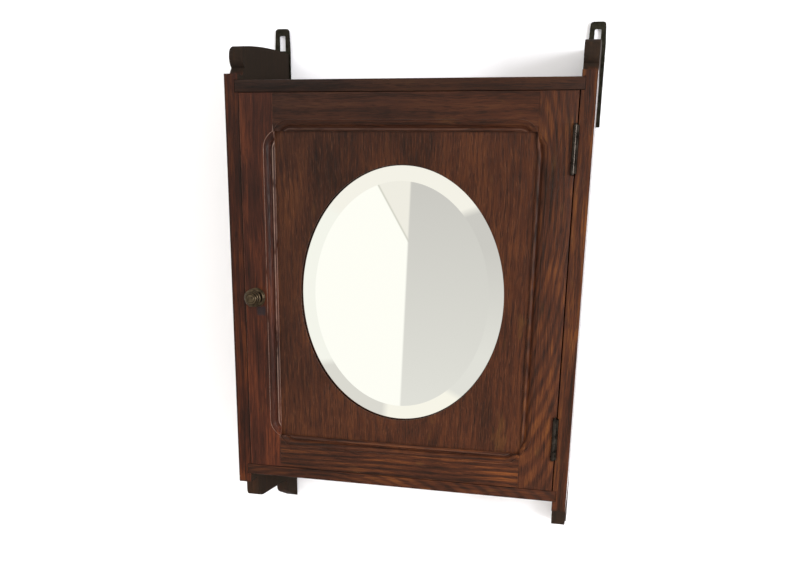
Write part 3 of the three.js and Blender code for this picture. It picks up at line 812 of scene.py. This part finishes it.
left_oak = stained_oak(
    "left_side_oak",
    "z",
    11,
    light="#86522f",
    heart=(0.2, 0.25),
    tint="#d8ccbc",
    flanks=True,
    streaky=0.95,
)
right_oak = stained_oak(
    "right_side_oak", "z", 17, light="#84532f", heart=(0.3, -0.05), flanks=True, streaky=1.0
)
softened("side_left", 1.0, left_oak)
softened("side_right", 1.0, right_oak)
for hand in ("left", "right"):
    softened(f"hanging_plate_{hand}", 0.5, black_iron)
for end in ("top", "bottom"):
    softened(f"hinge_{end}_case_leaf", 0.2, brown_steel)
    softened(f"hinge_{end}_door_leaf", 0.2, brown_steel)
softened("latch_keeper", 0.25, old_brass)
softened("latch_tongue", 0.3, old_brass)

# %% [markdown]
# ## The moulded door frame
# Each stile and rail carries a moulding worked with a spindle cutter: a small step, a round falling
# away to a quirk, and a flat bead beside the panel. The cutter was lifted out on a curve before
# each corner, so the lines sweep away to the sight edge and leave the corners square and solid.
# A Bevel could not draw that. Here the cross-section is carried along the member, and every line
# of it bends onto its own arc about the cutter's centre.

# %% Moulding section
DOOR_T = 20.0
MOULD_W = 15.0
CUTTER_R = 26.0
MOULD_STOP = 24.0
PANEL_DEPTH = 8.0
REBATE_W = 9.0
HUB = MOULD_W - CUTTER_R  # the cutter's centre lies this far from the sight edge, in the opening
SECTION = np.array(
    [
        (15.0, 1.1),
        (13.9, 1.15),
        (12.0, 1.8),
        (9.8, 3.1),
        (8.1, 4.7),
        (7.3, 6.1),
        (6.2, 6.6),
        (5.6, 5.7),
        (4.6, 4.75),
        (3.0, 4.4),
        (1.4, 4.8),
        (0.4, 5.6),
        (0.0, 6.8),
    ]
)


def through(points, per_span=4):
    """A Catmull-Rom curve: between two points the slope at each is half the step over its
    neighbours, so the curve passes through every point."""
    padded = np.vstack([2 * points[0] - points[1], points, 2 * points[-1] - points[-2]])
    t = np.linspace(0, 1, per_span, endpoint=False)[:, None]
    p0, p1, p2, p3 = (padded[k : len(padded) - 3 + k, None] for k in range(4))
    span = 0.5 * (
        2 * p1
        + (p2 - p0) * t
        + (2 * p0 - 5 * p1 + 4 * p2 - p3) * t**2
        + (3 * p1 - p0 - 3 * p2 + p3) * t**3
    )
    return np.vstack([span.reshape(-1, 2), points[-1:]])


FLAT_EDGE = 0.5  # the last of the flat face before the step has its own line of points
curve = through(SECTION)
curve[:, 0] = np.clip(curve[:, 0], 0, MOULD_W)
worked = np.vstack([[(MOULD_W + FLAT_EDGE, 0.0), (MOULD_W, 0.0)], curve])
print("moulding", len(worked), "points, deepest", round(worked[:, 1].max(), 2), "mm")


def moulded(over):
    """The worked line where the section lies `over` mm beyond the straight run. A point at v keeps
    its distance v - HUB from the cutter's centre, so it moves to HUB + sqrt((v - HUB)^2 - over^2)
    and stops at the sight edge."""
    reach = worked[:, 0] - HUB
    left = reach**2 - over**2
    inside = left > HUB**2
    across = np.where(inside, HUB + np.sqrt(np.maximum(left, 0)), 0)
    edge = HUB + math.hypot(over, HUB)
    order = worked[::-1]
    at_edge = np.interp(edge, order[:, 0], order[:, 1]) if edge < MOULD_W else 0.0
    return np.stack([across, np.where(inside, worked[:, 1], at_edge)], 1)


# %% Door sizes from the frame
def span_of(node):
    """A node's lowest and highest corner in millimetres."""
    low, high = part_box(node)
    return np.array(low) / MM, np.array(high) / MM


left_low, left_high = span_of("stile_knob_side")
right_low = span_of("stile_hinge_side")[0]
SIGHT_LEFT, SIGHT_RIGHT = left_high[0], right_low[0]
SIGHT_LOW = span_of("rail_bottom")[1][2]
SIGHT_HIGH = span_of("rail_top")[0][2]
FACE = left_low[1]
MEMBER_W = left_high[0] - left_low[0]
pins = [span_of(f"hinge_{end}_pin") for end in ("bottom", "top")]
leaves = [span_of(f"hinge_{end}_door_leaf") for end in ("bottom", "top")]
print("sight size", round(SIGHT_RIGHT - SIGHT_LEFT, 1), "x", round(SIGHT_HIGH - SIGHT_LOW, 1))

# %% Members
EASE = 0.8
BARREL_ROOM = 3.6
LEAF_BACK = 18.8
LEAF_BED = 1.7


def outer_edge(kind):
    """The member's outer edge from back to front as (width, depth), in eight points. Beside a
    hinge it steps in for the leaf, and its front corner is hollowed on an arc about the pin."""
    round_off = np.linspace(0, math.pi / 2, 4)
    if kind == "plain":
        arc = np.stack(
            [MEMBER_W - EASE + EASE * np.cos(round_off), EASE - EASE * np.sin(round_off)], 1
        )
        side = [(MEMBER_W, LEAF_BACK), (MEMBER_W, 17.0), (MEMBER_W, 8.0)]
    else:
        pin_v = (pins[0][0][0] + pins[0][1][0]) / 2 - SIGHT_RIGHT
        pin_d = (pins[0][0][1] + pins[0][1][1]) / 2 - FACE
        bed = MEMBER_W - (LEAF_BED if kind == "leaf" else 0)
        start = math.atan2(math.sqrt(BARREL_ROOM**2 - (bed - pin_v) ** 2), bed - pin_v)
        stop = math.pi - math.asin(-pin_d / BARREL_ROOM)
        turn = np.linspace(start, stop, 4)
        arc = np.stack(
            [pin_v + BARREL_ROOM * np.cos(turn), pin_d + BARREL_ROOM * np.sin(turn)], 1
        )
        side = [(MEMBER_W, LEAF_BACK), (bed, LEAF_BACK - 0.01), (bed, 8.0)]
    return np.vstack([[(MEMBER_W, DOOR_T)], side, arc])


def section_at(over, rebated, kind):
    """The whole closed section in (distance from the sight edge, depth from the face)."""
    if rebated:
        inner = [(0, PANEL_DEPTH), (REBATE_W, PANEL_DEPTH), (REBATE_W, DOOR_T)]
    else:
        inner = [(0, PANEL_DEPTH), (0, DOOR_T), (REBATE_W, DOOR_T)]
    return np.vstack([outer_edge(kind), moulded(over), inner])


def ridge_weights():
    """How strongly each point of the section takes the painted highlight and the smoother varnish:
    1 on the outer arris, the step's arris, the crest of the bead and the arris beside the panel,
    falling off as exp(-(distance / width)^2)."""
    v = worked[:, 0]
    crest = np.exp(-(((v - 3.0) / 0.7) ** 2))
    step_arris = np.where(worked[:, 1] < 1.3, np.exp(-(((v - MOULD_W) / 0.2) ** 2)), 0)
    last = np.exp(-((v / 0.35) ** 2))
    outer = np.array([0, 0, 0, 0, 0.2, 0.5, 0.3, 0])
    return np.concatenate([outer, np.maximum.reduce([crest, step_arris, last]), np.zeros(3)])


def member(name, sight_length, ends, place, hinges=()):
    """Carries the section along u. place(u, v, d) turns millimetres along, across and deep into
    metres. Stations crowd where the cutter lifts out, and come in pairs at each sudden change."""
    run = sight_length / 2 - MOULD_STOP
    lift = np.sin(np.linspace(0, math.pi / 2, 30)) * math.sqrt(CUTTER_R**2 - HUB**2)
    room = sight_length / 2 + REBATE_W
    stops = [(u, True, "plain") for u in np.linspace(-run, run, 24)]
    stops += [(sign * (run + step), True, "plain") for sign in (-1, 1) for step in lift[1:]]
    if ends[1] > room:
        stops += [(sign * (room - 0.01), True, "plain") for sign in (-1, 1)]
        stops += [(sign * room, False, "plain") for sign in (-1, 1)]
    stops += [(u, abs(u) < room, "plain") for u in ends]
    for low, high, tip in hinges:
        stops = [s for s in stops if not low - tip < s[0] < high + tip]
        for a, b, kind in (
            (low - tip, low, "barrel"),
            (low, high, "leaf"),
            (high, high + tip, "barrel"),
        ):
            stops += [(u, True, kind) for u in np.linspace(a + 0.01, b - 0.01, 6)]
        stops += [(low - tip, True, "plain"), (high + tip, True, "plain")]
    stops.sort(key=lambda s: s[0])
    rings = []
    for u, rebated, kind in stops:
        line = section_at(max(abs(u) - run, 0), rebated, kind)
        rings.append(place(np.full(len(line), u), line[:, 0], line[:, 1]))
    piece = carried(name, np.array(rings), sharp=28)
    ridge = piece.data.attributes.new("ridge", "FLOAT", "POINT")
    ridge.data.foreach_set("value", np.tile(ridge_weights(), len(rings)))
    return piece


mid_x = (SIGHT_LEFT + SIGHT_RIGHT) / 2
mid_z = (SIGHT_LOW + SIGHT_HIGH) / 2
wide = SIGHT_RIGHT - SIGHT_LEFT
tall = SIGHT_HIGH - SIGHT_LOW
JOINT = 0.15


def metres(x, depth, z):
    """Points in metres from millimetres across, into the door from its face, and up."""
    return np.stack([x, FACE + depth, z], 1) * MM


rail_ends = (-wide / 2 + JOINT, wide / 2 - JOINT)
stile_ends = (left_low[2] - mid_z, left_high[2] - mid_z)
hinge_room = [
    (leaf[0][2] - mid_z - 0.3, leaf[1][2] - mid_z + 0.3, 2.4) for leaf in leaves
]
rail_top = member(
    "rail_top_moulded",
    wide,
    rail_ends,
    lambda u, v, d: metres(mid_x + u, d, SIGHT_HIGH + v),
)
rail_bottom = member(
    "rail_bottom_moulded",
    wide,
    rail_ends,
    lambda u, v, d: metres(mid_x + u, d, SIGHT_LOW - v),
)
stile_left = member(
    "stile_knob_side_moulded",
    tall,
    stile_ends,
    lambda u, v, d: metres(SIGHT_LEFT - v, d, mid_z + u),
)
stile_right = member(
    "stile_hinge_side_moulded",
    tall,
    stile_ends,
    lambda u, v, d: metres(SIGHT_RIGHT + v, d, mid_z + u),
    hinge_room,
)
top_rail_oak = stained_oak(
    "top_rail_oak", "x", 23, light="#6f4733", heart=(0.02, 0.35), ridges=0.15
)
bottom_rail_oak = stained_oak(
    "bottom_rail_oak",
    "x",
    29,
    light="#8f5632",
    heart=(0.27, 0.10),
    slope=0.05,
    rings=1.6,
    ridges=0.15,
    streaky=0.85,
)
knob_stile_oak = stained_oak(
    "knob_stile_oak",
    "z",
    31,
    light="#8c5233",
    heart=(-0.21, 0.3),
    tint="#e9e4e4",
    ridges=1.0,
    streaky=0.85,
    # Painted shadow of the knob, below it and to its right.
    mark=(-0.2095, -0.0305, 0.005),
)
hinge_stile_oak = stained_oak(
    "hinge_stile_oak",
    "z",
    37,
    light="#8c5733",
    heart=(0.18, -0.17),
    slope=0.22,
    rings=1.5,
    ridges=0.15,
)
show(rail_top, top_rail_oak, "rail_top")
show(rail_bottom, bottom_rail_oak, "rail_bottom")
show(stile_left, knob_stile_oak, "stile_knob_side")
show(stile_right, hinge_stile_oak, "stile_hinge_side")
print("moulded members", [len(o.data.polygons) for o in (rail_top, stile_right)])

# %% [markdown]
# ## Panel and mirror
# The panel is veneered, with an oval sawn out of it and rebated from behind for the glass. Both it
# and the mirror are ring surfaces: one parameter runs round the oval, the other runs from one edge
# to the next. The bevel of the glass is as wide at the sides as at the top, so its inner edge is
# the oval moved in along its own normal, which is not quite an ellipse.

# %% Ovals
ROUND = 288
glass_low, glass_high = span_of("mirror")
OVER = 4.5
half_x = (glass_high[0] - glass_low[0]) / 2
half_z = (glass_high[2] - glass_low[2]) / 2
centre_x = (glass_high[0] + glass_low[0]) / 2
centre_z = (glass_high[2] + glass_low[2]) / 2
angle = np.arange(ROUND) * 2 * math.pi / ROUND


def oval(inset, y):
    """The glass edge (a cos t, b sin t), moved in along its normal (b cos t, a sin t) / length."""
    normal = np.stack([half_z * np.cos(angle), half_x * np.sin(angle)], 1)
    normal /= np.linalg.norm(normal, axis=1)[:, None]
    x = centre_x + half_x * np.cos(angle) - inset * normal[:, 0]
    z = centre_z + half_z * np.sin(angle) - inset * normal[:, 1]
    return np.stack([x, np.full(ROUND, y), z], 1) * MM


def rectangle(low_x, high_x, low_z, high_z, y):
    """Points of a rectangle on the rays at each angle; those nearest a corner are put on it."""
    x0, x1, z0, z1 = (
        low_x - centre_x,
        high_x - centre_x,
        low_z - centre_z,
        high_z - centre_z,
    )
    c, s = np.cos(angle), np.sin(angle)
    far = np.full(ROUND, 1e9)
    with np.errstate(divide="ignore"):
        reach_x = np.where(c > 1e-9, x1 / c, np.where(c < -1e-9, x0 / c, far))
        reach_z = np.where(s > 1e-9, z1 / s, np.where(s < -1e-9, z0 / s, far))
    reach = np.minimum(reach_x, reach_z)
    points = np.stack([reach * c, np.full(ROUND, y), reach * s], 1)
    for corner in ((x0, z0), (x0, z1), (x1, z0), (x1, z1)):
        near = np.argmin(np.hypot(points[:, 0] - corner[0], points[:, 2] - corner[1]))
        points[near, 0], points[near, 2] = corner
    return (points + (centre_x, 0, centre_z)) * MM


# %% Mirror
BEVEL = 26.0
RIM = 1.6
front, back = glass_low[1], glass_high[1]
rings = [oval(BEVEL, front)]
rings += [oval(0.25, back - RIM), oval(0, back - RIM + 0.3), oval(0, back)]
mirror = carried("mirror_bevelled", np.array(rings), sharp=3)
show(mirror, silvered_glass, "mirror")

# %% Panel
panel_low, panel_high = span_of("door_panel")
front, back = panel_low[1], panel_high[1]
edges = (panel_low[0], panel_high[0], panel_low[2], panel_high[2])
LIP = 2.0
rings = [rectangle(*edges, back), rectangle(*edges, front)]
rings += [oval(OVER - 0.6, front), oval(OVER - 0.15, front + 0.2), oval(OVER, front + 0.7)]
rings += [oval(OVER, front + LIP), oval(-0.3, front + LIP), oval(-0.3, back)]
rings.append(rings[0])
panel = carried("door_panel_veneered", np.array(rings), sharp=40, cap_first=False, cap_last=False)
veneer = stained_oak(
    "panel_veneer", "z", 41, heart=(0.02, -0.12), slope=0.10, flecks=0.28, worn=0.3, rings=0.5
)
show(panel, veneer, "door_panel")
print("mirror and panel", len(mirror.data.polygons), len(panel.data.polygons))

# %% [markdown]
# ## Turned brass
# Knob and rose are turned. A profile of radius against distance is spun about the spindle. The
# grooves between the rings stay crisp.

# %% Turned pieces


def turned(name, profile, centre, around=96, closed=False):
    """Spins (radius, distance) about an axis that leaves the door: x and z are radius times the
    cosine and sine of the turn, and y is the start less the distance."""
    turn = np.arange(around) * 2 * math.pi / around
    radius, out = profile[:, :1], profile[:, 1:]
    x = centre[0] + radius * np.cos(turn)
    z = centre[2] + radius * np.sin(turn)
    y = centre[1] - out + 0 * turn
    rings = np.stack([x, y, z], -1) * MM
    if closed:
        rings = np.concatenate([rings, rings[:1]])
    return carried(name, rings, sharp=38, cap_first=not closed, cap_last=not closed)


rose_low, rose_high = span_of("knob_rose")
knob_back = span_of("knob")[1][1]
axis_x = (rose_low[0] + rose_high[0]) / 2
axis_z = (rose_low[2] + rose_high[2]) / 2
foot = through(np.array([(7.0, 0.0), (6.0, 2.4), (6.3, 4.8), (9.2, 7.0), (12.1, 9.3)]))
wheel = through(np.array([(12.1, 9.3), (12.8, 10.8), (12.7, 12.2), (11.9, 13.1), (11.0, 13.3)]))
middle = through(np.array([(10.7, 13.0), (10.9, 14.4), (10.5, 15.8), (9.6, 16.4), (9.0, 16.3)]))
front_ring = through(np.array([(8.7, 15.9), (8.9, 17.4), (8.4, 18.9), (7.4, 19.5), (6.5, 19.2)]))
button = through(np.array([(6.2, 18.6), (5.6, 19.5), (4.0, 20.2), (2.0, 20.5), (0.02, 20.6)]))
profile = np.vstack([[(0.02, 0.0)], foot, wheel, middle, front_ring, button])
knob = turned("knob_turned", profile, (axis_x, knob_back, axis_z))
show(knob, old_brass, "knob")
bore = 3.4
dish = through(np.array([(14.0, 0.8), (13.5, 1.4), (12.7, 1.5), (12.4, 1.3)]), 3)
swell = through(np.array([(12.2, 1.5), (11.4, 2.4), (10.0, 2.9), (8.6, 3.0)]), 3)
profile = np.vstack([[(bore, 0.0), (14.0, 0.0)], dish, swell, [(bore, 3.0)]])
rose = turned("knob_rose_turned", profile, (axis_x, rose_high[1], axis_z), closed=True)
show(rose, old_brass, "knob_rose")
print("knob", tuple(round(v, 1) for v in knob.dimensions * 1000))

# %% [markdown]
# ## Solids that stay as they are
# Screws, pins, the spindle and the back boards already have their true shape, and only need their
# finish.

# %% Finishes on the frame's own solids
for k in (1, 2, 3):
    softened(f"back_board_{k}", 0.8, bare_pine)
finishes = {"pin": brown_steel, "screw": screw_steel, "spindle": screw_steel}
kept = [n for n, o in frame["nodes"].items() if any(word in n for word in finishes)]
for node in kept:
    word = next(word for word in finishes if word in node)
    metal = old_brass if node.startswith("keeper") else finishes[word]
    for slot in frame["nodes"][node].material_slots:
        slot.material = metal
print("kept solids", len(kept))

# %% [markdown]
# ## The size and the view transform
# The looks must not change the cabinet's size. The frame's box is printed, and the view transform
# is set to Standard.

# %% Sizes
bpy.context.scene.view_settings.view_transform = "Standard"
print("cad box", [round(v, 4) for v in (*cad_low, *cad_high)])
